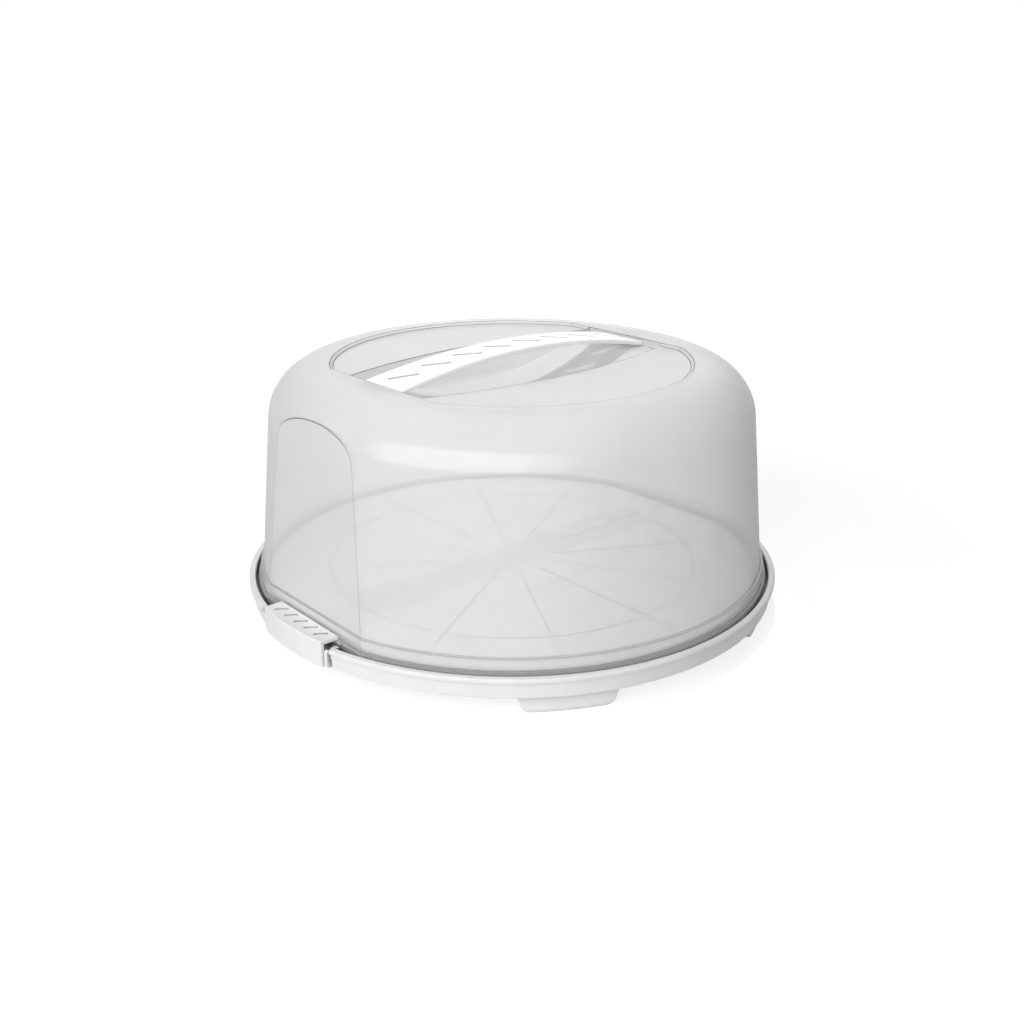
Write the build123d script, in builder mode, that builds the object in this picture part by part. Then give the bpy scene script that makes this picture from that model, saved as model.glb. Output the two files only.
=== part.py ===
from build123d import *
from math import asin, cos, radians, sin, tan
import os

# A round cake keeper: a footed tray, a clear cover with a sunk carrying handle, and two side latches.
# Millimetres, Z up. The origin is the centre of the tray, level with the soles of its feet.
# The handle lies along X, and the two latches close the cover at -X and at +X.

# Tray
foot_height = 11.8
skirt_height = 12.7
rim_radius = 172.5
rim_width = 4.3
rim_bead = 2.6
rim_chamfer = 0.7
skirt_setback = 1.5
skirt_taper = 1.0
tray_wall = 2.0
groove_depth = 6.0
plate_drop = 1.5
plate_gap = 3.7

# Portion marks pressed into the cake plate
mark_count = 12
mark_width = 0.8
mark_depth = 0.4
mark_start = 26.0
mark_margin = 12.0
mark_ring_radius = 121.0

# Stiffening ribs under the cake plate
rib_count = 12
rib_width = 1.6
rib_height = 3.5
rib_hub_radius = 22.0
rib_ring_radius = 92.0

# Feet
foot_depth = 8.0
foot_top_width = 59.0
foot_sole_width = 51.0
foot_corner = 6.0
foot_wall = 2.4
foot_angles = (60, 120, 240, 300)

# Cover
cover_wall = 1.8
cover_height = 134.0
flange_gap = 3.7
flange_flat_depth = 8.1
flange_height = 8.0
flange_seat_gap = 0.3
wall_setback = 1.9
flat_setback = 1.5
wall_draft = 5.76
flat_lean = 4.1
shoulder_radius = 32.5
lip_width = 1.7
lip_height = 0.7
lip_thickness = 1.8
tab_width = 2.9
tab_overhang = 4.0

# Sunk panel and finger bowl in the top of the cover
panel_setback = 50.8
panel_flat_depth = 11.9
panel_depth = 1.8
panel_slope = 2.0
bowl_end_width = 68.0
bowl_width = 100.0
bowl_depth = 25.4
bowl_ledge = 11.5
bowl_draft = 6.5
bowl_end_draft = 1.0
bowl_floor_radius = 8.0

# Carrying handle
handle_end_width = 35.2
handle_waist = 28.4
handle_thickness = 3.0
handle_rise = 9.2
handle_end_drop = 1.4
handle_chamfer = 0.7
handle_gap = 0.3
handle_seat_gap = 0.6
tongue_width = 30.0
tongue_tip_width = 22.0
tongue_length = 11.5
tongue_thickness = 2.0
grip_slot_count = 8
grip_slot_margin = 17.8
grip_slot_length = 18.5
grip_slot_width = 2.6
grip_slant = -36.0

# Latches
latch_length = 62.0
latch_wall = 2.0
latch_height = 2.7
latch_gap = 0.2
latch_edge_radius = 1.2
hook_grip = 1.5
hinge_setback = 7.1
hinge_drop = 7.0
barrel_radius = 2.3
pin_radius = 1.5
pin_gap = 0.1
pin_length = 3.2
web_width = 1.6
web_count = 4
web_pitch = 16.0
dimple_count = 5
dimple_pitch = 10.8
dimple_length = 8.5
dimple_width = 2.4
dimple_depth = 0.7

# Bearing ears beside each latch, and the notch that they stand in
ear_gap = 0.6
ear_thickness = 3.0
ear_rim = 1.3
ear_clearance = 1.0
ear_corner = 2.0
ear_slot_grip = 0.4
notch_end_gap = 2.3
notch_swing_gap = 1.8
tie_width = 1.5

# Levels
rim_top = foot_height + skirt_height
groove_floor = rim_top - groove_depth
groove_underside = groove_floor - tray_wall
plate_top = rim_top - plate_drop
plate_underside = plate_top - tray_wall
flange_top = rim_top + flange_height
flange_bottom = groove_floor + flange_seat_gap
lip_top = rim_top + lip_height
lip_bottom = lip_top - lip_thickness
cover_top = rim_top + cover_height
panel_floor = cover_top - panel_depth
bowl_floor = cover_top - bowl_depth
latch_top = rim_top + latch_height
latch_underside = lip_top + latch_gap
hinge_z = rim_top - hinge_drop
ear_top = lip_bottom - ear_clearance
handle_top = cover_top + handle_rise
handle_end_top = cover_top - handle_end_drop
tongue_top = cover_top - cover_wall - handle_gap
ledge_top = handle_end_top - handle_thickness - handle_seat_gap

# Distances from the centre line
groove_radius = rim_radius - rim_width
skirt_radius = rim_radius - skirt_setback
flange_radius = groove_radius - flange_gap
flange_flat = flange_radius - flange_flat_depth
plate_radius = flange_radius - cover_wall - plate_gap
plate_flat = flange_flat - cover_wall - plate_gap
foot_inner_radius = plate_radius - tray_wall
foot_radius = foot_inner_radius + foot_depth
wall_radius = flange_radius - wall_setback
wall_flat = flange_flat - flat_setback
panel_radius = flange_radius - panel_setback
panel_flat = panel_radius - panel_flat_depth
tab_reach = flange_flat + tab_width
tab_half_length = latch_length / 2 + tab_overhang
hook_x = tab_reach - hook_grip
dimple_x = (hook_x + rim_radius - latch_wall - latch_edge_radius) / 2
hinge_x = rim_radius - hinge_setback
ear_inner = latch_length / 2 + ear_gap
ear_outer = ear_inner + ear_thickness
notch_slope = tan(asin((ear_outer + notch_end_gap) / rim_radius))
notch_x = hinge_x - barrel_radius - notch_swing_gap
handle_reach = panel_flat - handle_gap - bowl_end_draft * (handle_end_drop + handle_thickness) / bowl_depth
grip_slot_pitch = 2 * (panel_flat - grip_slot_margin) / (grip_slot_count - 1)
beyond = 2 * rim_radius

# Centre of the shoulder's arc, which the drafted wall meets at a tangent
shoulder_z = cover_top - shoulder_radius
shoulder_foot_z = shoulder_z + shoulder_radius * sin(radians(wall_draft))
shoulder_foot_x = wall_radius - (shoulder_foot_z - flange_top) * tan(radians(wall_draft))
shoulder_x = shoulder_foot_x - shoulder_radius * cos(radians(wall_draft))


def flatted_circle(radius, flat):
    """Draws a circle with a straight side at each end of X in the open sketch."""
    Circle(radius)
    Rectangle(2 * flat, 2 * radius, mode=Mode.INTERSECT)


def ring(radius, width):
    """A flat ring on the given middle radius."""
    with BuildSketch() as band:
        Circle(radius + width / 2)
        Circle(radius - width / 2, mode=Mode.SUBTRACT)
    return band.sketch


def boat_outline(half_length, width, end_width):
    """A face bounded by two long arcs along X and a straight end at each side."""
    with BuildSketch() as outline:
        with BuildLine():
            far = ThreePointArc((-half_length, end_width / 2), (0, width / 2), (half_length, end_width / 2))
            near = ThreePointArc((-half_length, -end_width / 2), (0, -width / 2), (half_length, -end_width / 2))
            Line(far @ 0, near @ 0)
            Line(far @ 1, near @ 1)
        make_face()
    return outline.sketch


def foot_form(inset, sole):
    """A curved, tapering block at +X between the tray's groove and the table."""
    lean = (foot_top_width - foot_sole_width) / 2 / foot_height
    half_sole = foot_sole_width / 2 + lean * sole - inset
    half_top = half_sole + lean * (groove_underside - sole)
    with BuildPart() as form:
        with BuildSketch(Plane.YZ) as face:
            with BuildLine():
                Polyline(
                    (-half_sole, sole),
                    (half_sole, sole),
                    (half_top, groove_underside),
                    (-half_top, groove_underside),
                    close=True,
                )
            make_face()
            fillet(face.vertices().group_by(Axis.Y)[0], radius=foot_corner - inset)
        extrude(amount=beyond)
        with BuildSketch(Plane.XY.offset(sole)):
            Circle(foot_radius - inset)
            Circle(foot_inner_radius + inset, mode=Mode.SUBTRACT)
        extrude(amount=beyond, mode=Mode.INTERSECT)
    return form.part


# Foot: a short box that is open below, with one web across it
with BuildPart() as foot:
    add(foot_form(0, 0))
    add(foot_form(foot_wall, -foot_wall), mode=Mode.SUBTRACT)
    with BuildSketch(Plane.XY):
        with Locations((foot_radius - foot_wall / 2, 0)):
            Rectangle(2 * (foot_radius - foot_inner_radius - foot_wall), foot_wall)
        Circle(foot_inner_radius + foot_wall / 2, mode=Mode.SUBTRACT)
        Circle(foot_radius - foot_wall / 2, mode=Mode.INTERSECT)
    extrude(amount=groove_underside)

# Hinge seat at +X: two ears with snap-in bearings, joined by a low wall
with BuildPart() as hinge_seat:
    ear_reach = hinge_x + pin_radius + pin_gap + ear_rim
    with BuildSketch(Plane.XZ) as ear_face:
        with BuildLine():
            Polyline(
                (notch_x - tie_width, foot_height),
                (ear_reach, foot_height),
                (ear_reach, ear_top),
                (notch_x - tie_width, ear_top),
                close=True,
            )
        make_face()
        fillet(ear_face.vertices().group_by(Axis.X)[-1], radius=ear_corner)
        with Locations((hinge_x, hinge_z)):
            Circle(pin_radius + pin_gap, mode=Mode.SUBTRACT)
        with Locations((hinge_x, ear_top)):
            Rectangle(2 * pin_radius - ear_slot_grip, 2 * (ear_top - hinge_z), mode=Mode.SUBTRACT)
    extrude(amount=ear_outer, both=True)
    with BuildSketch(Plane.XY):
        with Locations((ear_reach, 0)):
            Rectangle(2 * (ear_reach - notch_x + tie_width), 2 * ear_inner)
    extrude(amount=beyond, mode=Mode.SUBTRACT)
    with BuildSketch(Plane.XY.offset(groove_underside)):
        with Locations((notch_x - tie_width / 2, 0)):
            Rectangle(tie_width, 2 * ear_inner + ear_thickness)
    extrude(amount=ear_top - groove_underside)

# Tray: rim, skirt and groove in one section, then the raised plate
with BuildPart() as base_tray:
    with BuildSketch(Plane.XZ) as section:
        with BuildLine():
            Polyline(
                (0, groove_underside),
                (groove_radius, groove_underside),
                (groove_radius, foot_height),
                (skirt_radius - skirt_taper, foot_height),
                (skirt_radius, rim_top - rim_bead),
                (rim_radius, rim_top - rim_bead),
                (rim_radius, rim_top),
                (groove_radius, rim_top),
                (groove_radius, groove_floor),
                (0, groove_floor),
                close=True,
            )
        make_face()
        chamfer(section.vertices().group_by(Axis.Y)[-1], length=rim_chamfer)
    revolve(axis=Axis.Z)
    with BuildSketch(Plane.XY.offset(groove_underside)):
        flatted_circle(plate_radius, plate_flat)
    extrude(amount=plate_top - groove_underside)
    with BuildSketch(Plane.XY.offset(groove_underside)):
        flatted_circle(foot_inner_radius, plate_flat - tray_wall)
    extrude(amount=plate_underside - groove_underside, mode=Mode.SUBTRACT)

    # Ribs under the plate: spokes from a hub to the plate's wall, and a ring
    with BuildSketch(Plane.XY.offset(plate_underside - rib_height)):
        with PolarLocations((rib_hub_radius + plate_radius) / 2, rib_count):
            Rectangle(plate_radius - rib_hub_radius, rib_width)
        add(ring(rib_hub_radius, rib_width))
        add(ring(rib_ring_radius, rib_width))
        Circle(plate_radius - tray_wall / 2, mode=Mode.INTERSECT)
        Rectangle(2 * plate_flat - tray_wall, beyond, mode=Mode.INTERSECT)
    extrude(amount=rib_height)

    # Portion marks in the top of the plate
    with BuildSketch(Plane.XY.offset(plate_top - mark_depth)):
        with PolarLocations((mark_start + plate_radius - mark_margin) / 2, mark_count):
            Rectangle(plate_radius - mark_margin - mark_start, mark_width)
        add(ring(mark_ring_radius, mark_width))
    extrude(amount=mark_depth, mode=Mode.SUBTRACT)

    # Notches in the rim for the latches, with radial sides, each with its hinge seat
    with BuildSketch(Plane.XY):
        for side in (-1, 1):
            with BuildLine():
                Polyline(
                    (side * notch_x, -notch_x * notch_slope),
                    (side * beyond, -beyond * notch_slope),
                    (side * beyond, beyond * notch_slope),
                    (side * notch_x, notch_x * notch_slope),
                    close=True,
                )
            make_face()
    extrude(amount=beyond, mode=Mode.SUBTRACT)
    for turn in (0, 180):
        add(hinge_seat.part.rotate(Axis.Z, turn))
    for turn in foot_angles:
        add(foot.part.rotate(Axis.Z, turn))


def cover_form(inset, bottom):
    """The drafted wall and round shoulder as a solid, with the two leaning flats."""
    arc_radius = shoulder_radius - inset
    arc_foot_x = shoulder_x + arc_radius * cos(radians(wall_draft))
    arc_foot_z = shoulder_z + arc_radius * sin(radians(wall_draft))
    bottom_x = arc_foot_x + (arc_foot_z - bottom) * tan(radians(wall_draft))
    flat_x = wall_flat - inset / cos(radians(flat_lean))
    flat_bottom_x = flat_x + (flange_top - bottom) * tan(radians(flat_lean))
    flat_top_x = flat_x - (cover_top - flange_top) * tan(radians(flat_lean))
    with BuildPart() as form:
        with BuildSketch(Plane.XZ):
            with BuildLine():
                Line((0, bottom), (bottom_x, bottom))
                Line((bottom_x, bottom), (arc_foot_x, arc_foot_z))
                CenterArc((shoulder_x, shoulder_z), arc_radius, wall_draft, 90 - wall_draft)
                Line((shoulder_x, shoulder_z + arc_radius), (0, shoulder_z + arc_radius))
                Line((0, shoulder_z + arc_radius), (0, bottom))
            make_face()
        revolve(axis=Axis.Z)
        with BuildSketch(Plane.XZ):
            with BuildLine():
                Polyline(
                    (-flat_bottom_x, bottom),
                    (flat_bottom_x, bottom),
                    (flat_top_x, cover_top),
                    (-flat_top_x, cover_top),
                    close=True,
                )
            make_face()
        extrude(amount=beyond, both=True, mode=Mode.INTERSECT)
    return form.part


def bowl_form(margin, top):
    """The finger bowl as a solid: a drafted boat shape whose floor rises in an arc to a ledge at each end."""
    reach = panel_flat + margin
    side = 2 * margin
    floor_side = side - 2 * bowl_draft
    bottom = bowl_floor - margin
    ledge_x = panel_flat - bowl_ledge
    ledge_z = ledge_top - margin
    with BuildPart() as form:
        with BuildSketch(Plane.XY.offset(top)):
            add(boat_outline(reach, bowl_width + side, bowl_end_width + side))
        with BuildSketch(Plane.XY.offset(bottom)):
            add(boat_outline(reach - bowl_end_draft, bowl_width + floor_side, bowl_end_width + floor_side))
        loft(ruled=True)
        fillet(form.edges().group_by(Axis.Z)[0], radius=bowl_floor_radius + margin)
        with BuildSketch(Plane.XZ):
            with BuildLine():
                ThreePointArc((-ledge_x, ledge_z), (0, bottom), (ledge_x, ledge_z))
                Polyline(
                    (ledge_x, ledge_z),
                    (beyond, ledge_z),
                    (beyond, top),
                    (-beyond, top),
                    (-beyond, ledge_z),
                    (-ledge_x, ledge_z),
                )
            make_face()
        extrude(amount=beyond, both=True, mode=Mode.INTERSECT)
    return form.part


# Cover: one shell with a stepped flange, a sunk panel, a finger bowl and windows for the handle
with BuildPart() as dome_cover:
    add(cover_form(0, flange_top - cover_wall))
    with BuildSketch(Plane.XY.offset(flange_bottom)):
        flatted_circle(flange_radius, flange_flat)
    extrude(amount=flange_top - flange_bottom)
    with BuildSketch(Plane.XY.offset(lip_bottom)):
        flatted_circle(flange_radius + lip_width, flange_flat + lip_width)
        Rectangle(2 * tab_reach, 2 * tab_half_length)
    extrude(amount=lip_thickness)
    with BuildSketch(Plane.XY.offset(flange_bottom)):
        flatted_circle(flange_radius - cover_wall, flange_flat - cover_wall)
    extrude(amount=flange_top - cover_wall - flange_bottom, mode=Mode.SUBTRACT)
    add(cover_form(cover_wall, flange_top - cover_wall), mode=Mode.SUBTRACT)

    # Sunk panel and finger bowl, with their skin at full thickness below
    with BuildSketch(Plane.XY.offset(panel_floor - cover_wall)):
        flatted_circle(panel_radius, panel_flat)
    extrude(amount=cover_wall)
    add(bowl_form(cover_wall, panel_floor))
    with BuildSketch(Plane.XY.offset(cover_top)):
        flatted_circle(panel_radius, panel_flat)
    with BuildSketch(Plane.XY.offset(panel_floor)):
        flatted_circle(panel_radius - panel_slope, panel_flat - panel_slope)
    loft(ruled=True, mode=Mode.SUBTRACT)
    add(bowl_form(0, cover_top), mode=Mode.SUBTRACT)

    # Windows in the ends of the bowl for the tongues of the handle
    with BuildSketch(Plane.XY.offset(tongue_top - tongue_thickness - handle_gap)):
        Rectangle(2 * (panel_flat + 2 * cover_wall), tongue_width + 2 * handle_gap)
    extrude(amount=tongue_thickness + 2 * handle_gap, mode=Mode.SUBTRACT)

# Handle: an arched, waisted strap with slanted grip slots and a flat tongue at each end
with BuildPart() as carry_handle:
    with BuildSketch(Plane.XZ):
        with BuildLine():
            for drop in (0, handle_thickness):
                ThreePointArc(
                    (-handle_reach, handle_end_top - drop),
                    (0, handle_top - drop),
                    (handle_reach, handle_end_top - drop),
                )
            for end in (-handle_reach, handle_reach):
                Line((end, handle_end_top), (end, handle_end_top - handle_thickness))
        make_face()
    extrude(amount=handle_end_width, both=True)
    with BuildSketch(Plane.XY.offset(handle_end_top - handle_thickness)):
        add(boat_outline(handle_reach, handle_waist, handle_end_width))
    extrude(amount=handle_top, mode=Mode.INTERSECT)
    chamfer(carry_handle.faces().sort_by(Axis.Z)[-1].edges(), length=handle_chamfer)
    with BuildSketch(Plane.XY.offset(handle_end_top - handle_thickness)):
        with GridLocations(grip_slot_pitch, 0, grip_slot_count, 1):
            SlotOverall(grip_slot_length, grip_slot_width, rotation=grip_slant)
    extrude(amount=handle_top, mode=Mode.SUBTRACT)
    with BuildSketch(Plane.XY.offset(tongue_top - tongue_thickness)):
        for side in (-1, 1):
            root_x = side * (handle_reach - tongue_thickness)
            neck_x = side * (handle_reach + cover_wall + 2 * handle_gap)
            tip_x = side * (handle_reach + tongue_length)
            with BuildLine():
                Polyline(
                    (root_x, -tongue_width / 2),
                    (neck_x, -tongue_width / 2),
                    (tip_x, -tongue_tip_width / 2),
                    (tip_x, tongue_tip_width / 2),
                    (neck_x, tongue_width / 2),
                    (root_x, tongue_width / 2),
                    close=True,
                )
            make_face()
    extrude(amount=tongue_thickness)

# Webs inside a latch, from its face to the hinge barrel
with BuildPart() as latch_webs:
    with BuildSketch(Plane.XZ.offset(-latch_length / 2)):
        with BuildLine():
            Polyline(
                (hinge_x, hinge_z - barrel_radius),
                (rim_radius, hinge_z - 2 * barrel_radius),
                (rim_radius, latch_top - latch_wall / 2),
                (hinge_x + barrel_radius / 2, latch_top - latch_wall / 2),
                (hinge_x - barrel_radius / 2, hinge_z),
                close=True,
            )
        make_face()
    extrude(amount=latch_length)
    with BuildSketch(Plane.XY):
        Circle(rim_radius - latch_wall / 2)
        with GridLocations(0, web_pitch, 1, web_count):
            Rectangle(beyond, web_width, mode=Mode.INTERSECT)
    extrude(amount=beyond, mode=Mode.INTERSECT)

# Latch at +X: a curved face and a hooked top on webs that carry the hinge barrel and its pins
with BuildPart() as latch_back:
    with BuildSketch(Plane.XY.offset(foot_height)):
        Circle(rim_radius)
        Circle(rim_radius - latch_wall, mode=Mode.SUBTRACT)
        with Locations((notch_x + beyond / 2, 0)):
            Rectangle(beyond, latch_length, mode=Mode.INTERSECT)
    extrude(amount=latch_top - foot_height)
    with BuildSketch(Plane.XY.offset(latch_underside)):
        Circle(rim_radius)
        with Locations((hook_x + beyond / 2, 0)):
            Rectangle(beyond, latch_length, mode=Mode.INTERSECT)
    extrude(amount=latch_top - latch_underside)
    fillet(latch_back.edges().filter_by(GeomType.CIRCLE).group_by(Axis.Z)[-1], radius=latch_edge_radius)
    add(latch_webs.part)
    with BuildSketch(Plane.XY.offset(latch_top - dimple_depth)):
        with Locations((dimple_x, 0)):
            with GridLocations(0, dimple_pitch, 1, dimple_count):
                SlotOverall(dimple_length, dimple_width, rotation=grip_slant)
    extrude(amount=dimple_depth, mode=Mode.SUBTRACT)
    for radius, length in ((barrel_radius, latch_length), (pin_radius, latch_length + 2 * pin_length)):
        with BuildSketch(Plane.XZ):
            with Locations((hinge_x, hinge_z)):
                Circle(radius)
        extrude(amount=length / 2, both=True)

# The front latch is the same moulding, turned half way round
with BuildPart() as latch_front:
    add(latch_back.part.rotate(Axis.Z, 180))

os.makedirs("parts", exist_ok=True)
pieces = {
    "base_tray": base_tray,
    "dome_cover": dome_cover,
    "carry_handle": carry_handle,
    "latch_front": latch_front,
    "latch_back": latch_back,
}
for name, piece in pieces.items():
    piece.part.label = name
    export_step(piece.part, f"parts/{name}.step")
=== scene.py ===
from math import atan2, cos, radians, sin

import bpy
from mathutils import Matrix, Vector


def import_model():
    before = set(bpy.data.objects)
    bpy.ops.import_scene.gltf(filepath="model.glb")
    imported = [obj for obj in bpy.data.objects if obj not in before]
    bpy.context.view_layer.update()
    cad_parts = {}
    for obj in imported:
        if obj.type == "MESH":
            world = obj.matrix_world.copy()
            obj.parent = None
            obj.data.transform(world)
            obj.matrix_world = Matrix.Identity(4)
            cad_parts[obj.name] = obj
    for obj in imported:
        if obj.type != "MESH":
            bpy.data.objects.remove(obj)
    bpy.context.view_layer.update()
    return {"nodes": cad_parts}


# A round cake keeper on a white table: milky cover, white tray, strap handle and side latches.
# Metres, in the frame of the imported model: X along the handle, Z up, the soles of the feet at 0.

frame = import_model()

# Camera, at the angle of the photograph
camera_place = (-0.4724, -0.5426, 0.3294)
camera_forward = (0.6133, 0.7045, -0.3571)
camera_lens = 40.93
camera_sensor = 36.0

# Soft boxes: name, azimuth from the camera and elevation in degrees, distance, width, height,
# whether glossy surfaces mirror it, and watts
soft_boxes = (
    ("strip", -30, 29, 1.65, 2.2, 1.10, True, 8.4),
    ("strip_wide", -17, 29, 1.70, 2.9, 1.10, True, 7.2),
    ("strip_fade", -20, 23, 1.75, 2.6, 1.50, True, 3.6),
    ("wash", -16, 5, 1.8, 1.8, 0.7, False, 15.5),
    ("back", 180, 12, 1.7, 2.0, 0.8, False, 22.0),
)
soft_box_target = (0, 0, 0.08)

# Overhead spot, which throws the strap's shadow into the finger bowl
spot_place = (0.0, 0.0, 1.7)
spot_watts = 70.0
spot_angle = 0.21
spot_blend = 0.30
spot_radius = 0.03

# Surroundings, and the floor: its tone, and its glow near the object and far from it, each as a
# distance and a level
world_light = 0.02
floor_reach = 40.0
floor_tone = 0.62
floor_near = (0.30, 0.74)
floor_far = (0.80, 1.0)

# Every plastic
refractive_index = 1.49
noise_spread = (0.3, 0.7)
tone_ends = (0.35, 0.65)

# Moulded plastic: scales of mottle, uneven gloss and grain per metre, and the grain's height
mottle_scale = 35.0
gloss_scale = 120.0
grain_scale = 2600.0
grain_height = 0.00006
subsurface_share = 0.7

# Painted shade in the moulded plastic's colour, darker in crevices and under each step. Each has a
# reach and the range of openness that it fades over. Inside the plate's edge, given by its
# distances from the axis, no painted shade is deeper than plate_light
crevice_reach = 0.009
crevice_openness = (0.22, 0.60)
step_reach = 0.013
step_openness = (0.45, 0.95)
step_shade = 0.6
plate_edge = (0.152, 0.156)
plate_light = 0.35
# Painted shade along the edges of the plate's marks: the edge width and the turn it fades in over
mark_shade_radius = 0.0007
mark_shade_turn = (0.001, 0.02)

# Cover: the share of light that one face lets straight through and how far it wanders, what a
# glancing view takes from it, the share of the haze that goes forward and the haze's two tones
haze_clear = 0.54
cloudiness = 0.01
cloud_scale = 14.0
glancing_loss = 0.9
haze_forward = 0.5
haze_tones = (0.91, 0.94)

# The cover's painted edge shade, dark lines along its edges which also let less light through: width,
# strength and tone. None are drawn inside the finger bowl, given by its reach from the axis and its
# rim's height, and they are weaker up to the flange's height
edge_radius = 0.0008
edge_turn = (0.001, 0.006)
edge_density = 0.9
edge_shade_tone = 0.10
bowl_reach = (0.100, 0.106)
bowl_rim_height = (0.1550, 0.1560)
flange_height = (0.033, 0.036)
low_edge_share = 0.5

# The cover's polished skin: its mirror share face on and what a grazing view adds, the roughness
# of its scratches and how they are stretched, and its ripple
skin_reflection = 0.045
grazing_reflection = 0.06
scratch_roughness = (0.09, 0.14)
scratch_scale = 160.0
scratch_stretch = (1.0, 1.0, 14.0)
ripple_scale = 45.0
ripple_strength = 0.10
ripple_height = 0.0002


def node_adder(tree):
    """A function that adds a node to a tree, with its settings."""
    def add(kind, **settings):
        node = tree.nodes.new(kind)
        for key, value in settings.items():
            setattr(node, key, value)
        return node

    return add


def node_tree(name):
    """A new material with an emptied node tree, its output and a function that adds nodes."""
    material = bpy.data.materials.new(name)
    material.use_nodes = True
    tree = material.node_tree
    tree.nodes.clear()
    add = node_adder(tree)
    return material, tree, add("ShaderNodeOutputMaterial"), add


def calculate(tree, add, operation, first, second=0.0):
    """One sum of two values, of which either may be a socket."""
    node = add("ShaderNodeMath", operation=operation)
    for value, socket in ((first, node.inputs[0]), (second, node.inputs[1])):
        if isinstance(value, (int, float)):
            socket.default_value = value
        else:
            tree.links.new(value, socket)
    return node.outputs[0]


def map_range(tree, add, value, source, low=0.0, high=1.0, **settings):
    """A value spread from a source range over low to high, and held there beyond its ends."""
    node = add("ShaderNodeMapRange", **settings)
    node.inputs["From Min"].default_value, node.inputs["From Max"].default_value = source
    node.inputs["To Min"].default_value = low
    node.inputs["To Max"].default_value = high
    tree.links.new(value, node.inputs["Value"])
    return node.outputs["Result"]


def noise(tree, add, place, scale, detail):
    """A noise of the given scale per metre."""
    node = add("ShaderNodeTexNoise")
    node.inputs["Scale"].default_value = scale
    node.inputs["Detail"].default_value = detail
    tree.links.new(place, node.inputs["Vector"])
    return node.outputs["Fac"]


def tone_ramp(tree, add, value, dark, light):
    """A grey that follows a noise from a dark tone to a light one."""
    ramp = add("ShaderNodeValToRGB")
    for index, tone in enumerate((dark, light)):
        ramp.color_ramp.elements[index].position = tone_ends[index]
        ramp.color_ramp.elements[index].color = (tone, tone, tone, 1)
    tree.links.new(value, ramp.inputs["Fac"])
    return ramp.outputs["Color"]


def from_axis(tree, add, place):
    """Distance from the vertical axis through the middle."""
    flat_place = add("ShaderNodeVectorMath", operation="MULTIPLY")
    flat_place.inputs[1].default_value = (1, 1, 0)
    tree.links.new(place, flat_place.inputs[0])
    away = add("ShaderNodeVectorMath", operation="LENGTH")
    tree.links.new(flat_place.outputs[0], away.inputs[0])
    return away.outputs["Value"]


def edge_mask(tree, add, radius, low, high):
    """0 on open faces, rising to 1 within a small radius of an edge."""
    real = add("ShaderNodeNewGeometry").outputs["Normal"]
    rounded = add("ShaderNodeBevel", samples=8)
    rounded.inputs["Radius"].default_value = radius
    turn = add("ShaderNodeVectorMath", operation="DOT_PRODUCT")
    tree.links.new(real, turn.inputs[0])
    tree.links.new(rounded.outputs["Normal"], turn.inputs[1])
    agreement = calculate(tree, add, "ABSOLUTE", turn.outputs["Value"])
    return map_range(tree, add, agreement, (1 - low, 1 - high))


def occlusion(tree, add, reach, openness, shade, **settings):
    """The share of light that hollows within a reach keep, from the shade up to 1 in the open."""
    node = add("ShaderNodeAmbientOcclusion", samples=8, **settings)
    node.inputs["Distance"].default_value = reach
    return map_range(tree, add, node.outputs["AO"], openness, shade)


def painted_shade(tree, add, place, crevice_shade, plate_mark_shade):
    """Painted shade: the share of light kept in the colour in deep crevices, under each step and along the
    plate's marks.
    """
    plate = map_range(tree, add, from_axis(tree, add, place), plate_edge, plate_light, 0.0)
    crevice = occlusion(tree, add, crevice_reach, crevice_openness, crevice_shade)
    crevice = calculate(tree, add, "MAXIMUM", crevice, plate)
    step = occlusion(tree, add, step_reach, step_openness, step_shade, only_local=True)
    step = calculate(tree, add, "MAXIMUM", step, plate)
    light = calculate(tree, add, "MULTIPLY", crevice, step)
    if plate_mark_shade:
        # shade painted along the edges of the plate's marks, inside the plate
        marks = edge_mask(tree, add, mark_shade_radius, *mark_shade_turn)
        marks = calculate(tree, add, "MULTIPLY", marks, plate)
        light = calculate(tree, add, "MULTIPLY", light, calculate(tree, add, "SUBTRACT", 1.0, marks))
    return light


def grained_normal(tree, add, place, grain, edge):
    """The normal of a surface with fine grain and softened edges."""
    soft_edge = add("ShaderNodeBevel", samples=6)
    soft_edge.inputs["Radius"].default_value = edge
    bump = add("ShaderNodeBump")
    bump.inputs["Strength"].default_value = grain
    bump.inputs["Distance"].default_value = grain_height
    tree.links.new(noise(tree, add, place, grain_scale, 2.0), bump.inputs["Height"])
    tree.links.new(soft_edge.outputs["Normal"], bump.inputs["Normal"])
    return bump.outputs["Normal"]


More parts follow.
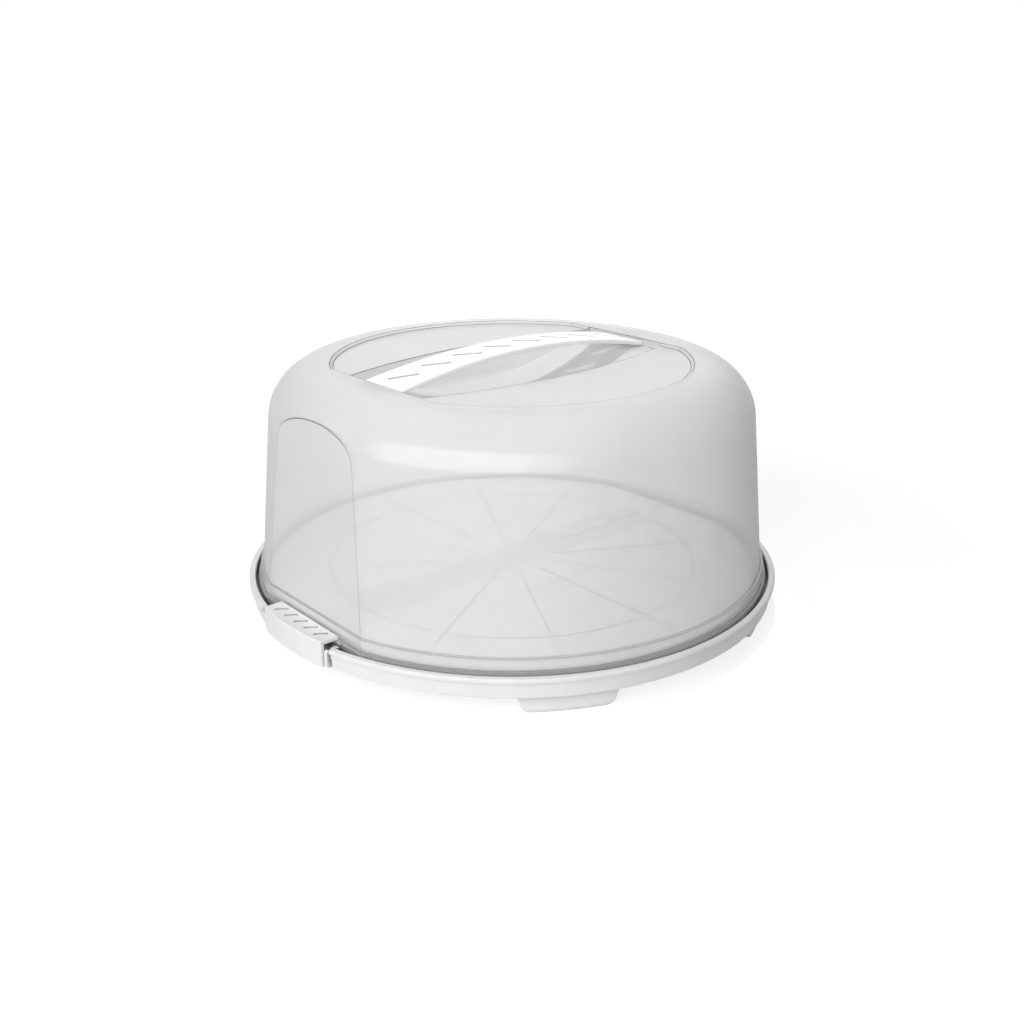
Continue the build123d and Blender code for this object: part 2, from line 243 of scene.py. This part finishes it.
def moulded_plastic(
    name, dark, light, rough, grain, edge, crevice_shade, depth_of_light=0.0, plate_mark_shade=False
):
    """Opaque moulded plastic: a faint mottle, fine grain, uneven gloss, soft edges, and shade painted into
    its colour in crevices.
    """
    material, tree, output, add = node_tree(name)
    place = add("ShaderNodeTexCoord").outputs["Object"]
    shader = add("ShaderNodeBsdfPrincipled")
    shader.inputs["IOR"].default_value = refractive_index
    colour = add("ShaderNodeMix", data_type="RGBA", blend_type="MULTIPLY")
    colour.inputs["Factor"].default_value = 1.0
    mottle = noise(tree, add, place, mottle_scale, 3.0)
    tree.links.new(tone_ramp(tree, add, mottle, dark, light), colour.inputs["A"])
    # shade painted into the colour: darker in crevices, under steps and along the plate's marks
    tree.links.new(painted_shade(tree, add, place, crevice_shade, plate_mark_shade), colour.inputs["B"])
    tree.links.new(colour.outputs["Result"], shader.inputs["Base Color"])
    gloss = noise(tree, add, place, gloss_scale, 2.0)
    tree.links.new(map_range(tree, add, gloss, noise_spread, *rough), shader.inputs["Roughness"])
    tree.links.new(grained_normal(tree, add, place, grain, edge), shader.inputs["Normal"])
    if depth_of_light:
        shader.inputs["Subsurface Weight"].default_value = subsurface_share
        shader.inputs["Subsurface Radius"].default_value = (1, 1, 1)
        shader.inputs["Subsurface Scale"].default_value = depth_of_light
    tree.links.new(shader.outputs["BSDF"], output.inputs["Surface"])
    return material


def painted_edge_shade(tree, add, place):
    """Shade painted as dark lines along the cover's edges, left out inside the finger bowl and weaker at the
    flange.
    """
    axes = add("ShaderNodeSeparateXYZ")
    tree.links.new(place, axes.inputs[0])
    height = axes.outputs["Z"]
    outside_bowl = map_range(tree, add, from_axis(tree, add, place), bowl_reach)
    above_bowl = map_range(tree, add, height, bowl_rim_height)
    drawn = calculate(tree, add, "MAXIMUM", outside_bowl, above_bowl)
    edge = calculate(tree, add, "MULTIPLY", edge_mask(tree, add, edge_radius, *edge_turn), drawn)
    share = map_range(tree, add, height, flange_height, low_edge_share)
    return calculate(tree, add, "MULTIPLY", edge, share)


def cover_haze(tree, add, cloud, edge):
    """Haze that scatters light back and forward, with a faint cloudiness and shade painted as dark lines
    along its edges.
    """
    tint = add("ShaderNodeMix", data_type="RGBA")
    # painted edge shade: the haze's tone turns dark along the cover's edges
    tint.inputs["B"].default_value = (edge_shade_tone, edge_shade_tone, edge_shade_tone, 1)
    tree.links.new(edge, tint.inputs["Factor"])
    tree.links.new(tone_ramp(tree, add, cloud, *haze_tones), tint.inputs["A"])
    haze = add("ShaderNodeMixShader")
    haze.inputs[0].default_value = haze_forward
    for index, kind in enumerate(("ShaderNodeBsdfDiffuse", "ShaderNodeBsdfTranslucent"), start=1):
        scatter = add(kind)
        tree.links.new(tint.outputs["Result"], scatter.inputs["Color"])
        tree.links.new(scatter.outputs[0], haze.inputs[index])
    return haze.outputs[0]


def cover_clearness(tree, add, cloud, facing, glancing, edge):
    """What one face lets straight through, which falls off with the slant of the light in the wall."""
    face_on = map_range(
        tree, add, cloud, noise_spread, haze_clear - cloudiness, haze_clear + cloudiness
    )
    slant = calculate(tree, add, "SUBTRACT", 1.0, facing)
    slant = calculate(tree, add, "POWER", slant, 2.0)
    slant = calculate(tree, add, "SUBTRACT", 1.0, slant)
    slant = calculate(tree, add, "DIVIDE", slant, refractive_index ** 2)
    slant = calculate(tree, add, "SUBTRACT", 1.0, slant)
    slant = calculate(tree, add, "POWER", slant, -0.5)
    through = calculate(tree, add, "POWER", face_on, slant)
    for mask, loss in ((glancing, glancing_loss), (edge, edge_density)):
        kept = calculate(tree, add, "MULTIPLY", mask, -loss)
        kept = calculate(tree, add, "ADD", kept, 1.0)
        through = calculate(tree, add, "MULTIPLY", through, kept)
    return through


def cover_skin(tree, add, place):
    """A polished skin with fine ripple and hairline scratches in its gloss."""
    stretch = add("ShaderNodeMapping")
    stretch.inputs["Scale"].default_value = scratch_stretch
    tree.links.new(place, stretch.inputs["Vector"])
    scratch = noise(tree, add, stretch.outputs["Vector"], scratch_scale, 4.0)
    bump = add("ShaderNodeBump")
    bump.inputs["Strength"].default_value = ripple_strength
    bump.inputs["Distance"].default_value = ripple_height
    tree.links.new(noise(tree, add, place, ripple_scale, 2.0), bump.inputs["Height"])
    skin = add("ShaderNodeBsdfGlossy")
    skin.inputs["Color"].default_value = (1, 1, 1, 1)
    tree.links.new(map_range(tree, add, scratch, noise_spread, *scratch_roughness), skin.inputs["Roughness"])
    tree.links.new(bump.outputs["Normal"], skin.inputs["Normal"])
    return skin.outputs[0]


def milky_plastic(name):
    """Clear plastic with a milky haze, which thickens with the way through the wall, and shade painted as
    dark lines along its edges.
    """
    material, tree, output, add = node_tree(name)
    place = add("ShaderNodeTexCoord").outputs["Object"]
    cloud = noise(tree, add, place, cloud_scale, 3.0)
    # edge: where shade is painted as dark lines along the cover's edges
    edge = painted_edge_shade(tree, add, place)
    weight = add("ShaderNodeLayerWeight")
    weight.inputs["Blend"].default_value = 0.5
    facing = weight.outputs["Facing"]
    glancing = calculate(tree, add, "POWER", facing, 5.0)

    body = add("ShaderNodeMixShader")
    tree.links.new(cover_clearness(tree, add, cloud, facing, glancing, edge), body.inputs[0])
    tree.links.new(cover_haze(tree, add, cloud, edge), body.inputs[1])
    tree.links.new(add("ShaderNodeBsdfTransparent").outputs[0], body.inputs[2])

    gleam = calculate(tree, add, "MULTIPLY", glancing, grazing_reflection)
    gleam = calculate(tree, add, "ADD", gleam, skin_reflection)
    whole = add("ShaderNodeMixShader")
    tree.links.new(gleam, whole.inputs[0])
    tree.links.new(body.outputs[0], whole.inputs[1])
    tree.links.new(cover_skin(tree, add, place), whole.inputs[2])
    tree.links.new(whole.outputs[0], output.inputs["Surface"])
    return material


def seen_directly(tree, add):
    """1 for what the camera sees, itself or mirrored in gloss, and 0 for light on other surfaces."""
    path = add("ShaderNodeLightPath")
    return calculate(tree, add, "ADD", path.outputs["Is Camera Ray"], path.outputs["Is Glossy Ray"])


def table_top():
    """A white table that keeps the object's soft shadow."""
    material, tree, output, add = node_tree("table_white")
    diffuse = add("ShaderNodeBsdfDiffuse")
    diffuse.inputs["Color"].default_value = (floor_tone, floor_tone, floor_tone, 1)
    distance = add("ShaderNodeVectorMath", operation="LENGTH")
    tree.links.new(add("ShaderNodeTexCoord").outputs["Object"], distance.inputs[0])
    reach, levels = zip(floor_near, floor_far)
    level = map_range(
        tree, add, distance.outputs["Value"], reach, *levels, interpolation_type="SMOOTHSTEP"
    )
    strength = calculate(tree, add, "MULTIPLY", seen_directly(tree, add), level)
    glow = add("ShaderNodeEmission")
    tree.links.new(strength, glow.inputs["Strength"])
    total = add("ShaderNodeAddShader")
    tree.links.new(diffuse.outputs[0], total.inputs[0])
    tree.links.new(glow.outputs[0], total.inputs[1])
    tree.links.new(total.outputs[0], output.inputs["Surface"])

    mesh = bpy.data.meshes.new("table")
    r = floor_reach
    mesh.from_pydata([(-r, -r, 0), (r, -r, 0), (r, r, 0), (-r, r, 0)], [], [(0, 1, 2, 3)])
    mesh.materials.append(material)
    table = bpy.data.objects.new("table", mesh)
    bpy.context.scene.collection.objects.link(table)


def world():
    """Plain pale surroundings, white where they are seen directly."""
    made = bpy.data.worlds.new("studio")
    made.use_nodes = True
    tree = made.node_tree
    tree.nodes.clear()
    add = node_adder(tree)
    mix = add("ShaderNodeMixShader")
    tree.links.new(seen_directly(tree, add), mix.inputs[0])
    for strength, socket in ((world_light, mix.inputs[1]), (1.0, mix.inputs[2])):
        background = add("ShaderNodeBackground")
        background.inputs["Color"].default_value = (1, 1, 1, 1)
        background.inputs["Strength"].default_value = strength
        tree.links.new(background.outputs[0], socket)
    tree.links.new(mix.outputs[0], add("ShaderNodeOutputWorld").inputs["Surface"])
    bpy.context.scene.world = made


def soft_box(name, azimuth, elevation, distance, width, height, gloss, watts):
    """A rectangular soft box that points at the cover; its angles are in degrees."""
    data = bpy.data.lights.new(name, "AREA")
    data.shape = "RECTANGLE"
    data.size = width
    data.size_y = height
    data.energy = watts
    turn = atan2(camera_place[1], camera_place[0]) + radians(azimuth)
    rise = radians(elevation)
    away = Vector((cos(rise) * cos(turn), cos(rise) * sin(turn), sin(rise)))
    made = bpy.data.objects.new(name, data)
    made.location = Vector(soft_box_target) + distance * away
    made.rotation_mode = "QUATERNION"
    made.rotation_quaternion = (-away).to_track_quat("-Z", "Y")
    made.visible_glossy = gloss
    made.visible_camera = False
    bpy.context.scene.collection.objects.link(made)


def overhead_spot():
    """A narrow spot straight above the cover, with no reflection of its own."""
    data = bpy.data.lights.new("overhead", "SPOT")
    data.energy = spot_watts
    data.spot_size = spot_angle
    data.spot_blend = spot_blend
    data.shadow_soft_size = spot_radius
    made = bpy.data.objects.new("overhead", data)
    made.location = spot_place
    made.visible_glossy = False
    bpy.context.scene.collection.objects.link(made)


def camera():
    """The photograph's viewpoint."""
    data = bpy.data.cameras.new("camera")
    data.lens = camera_lens
    data.sensor_width = camera_sensor
    made = bpy.data.objects.new("camera", data)
    made.location = camera_place
    made.rotation_mode = "QUATERNION"
    made.rotation_quaternion = Vector(camera_forward).to_track_quat("-Z", "Y")
    bpy.context.scene.collection.objects.link(made)
    bpy.context.scene.camera = made


def dress(node, material):
    """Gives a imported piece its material."""
    piece = frame["nodes"][node]
    piece.data.materials.clear()
    piece.data.materials.append(material)


# crevice_shade is the darkest shade painted into each plastic's crevices; the tray's crevices and groove are
# painted almost black, and only the tray gets shade painted along the plate's marks
tray_plastic = moulded_plastic(
    "tray_plastic", dark=0.86, light=0.90, rough=(0.34, 0.44), grain=0.25, edge=0.0004,
    crevice_shade=0.05, plate_mark_shade=True,
)
handle_plastic = moulded_plastic(
    "handle_plastic", dark=0.94, light=0.96, rough=(0.36, 0.46), grain=0.2, edge=0.0004,
    crevice_shade=0.5, depth_of_light=0.003,
)
latch_plastic = moulded_plastic(
    "latch_plastic", dark=0.87, light=0.91, rough=(0.34, 0.44), grain=0.25, edge=0.0003,
    crevice_shade=0.6,
)
dress("base_tray", tray_plastic)
dress("carry_handle", handle_plastic)
dress("latch_front", latch_plastic)
dress("latch_back", latch_plastic)
dress("dome_cover", milky_plastic("cover_plastic"))

table_top()
world()
for settings in soft_boxes:
    soft_box(*settings)
overhead_spot()
camera()
bpy.context.scene.view_settings.view_transform = "Standard"
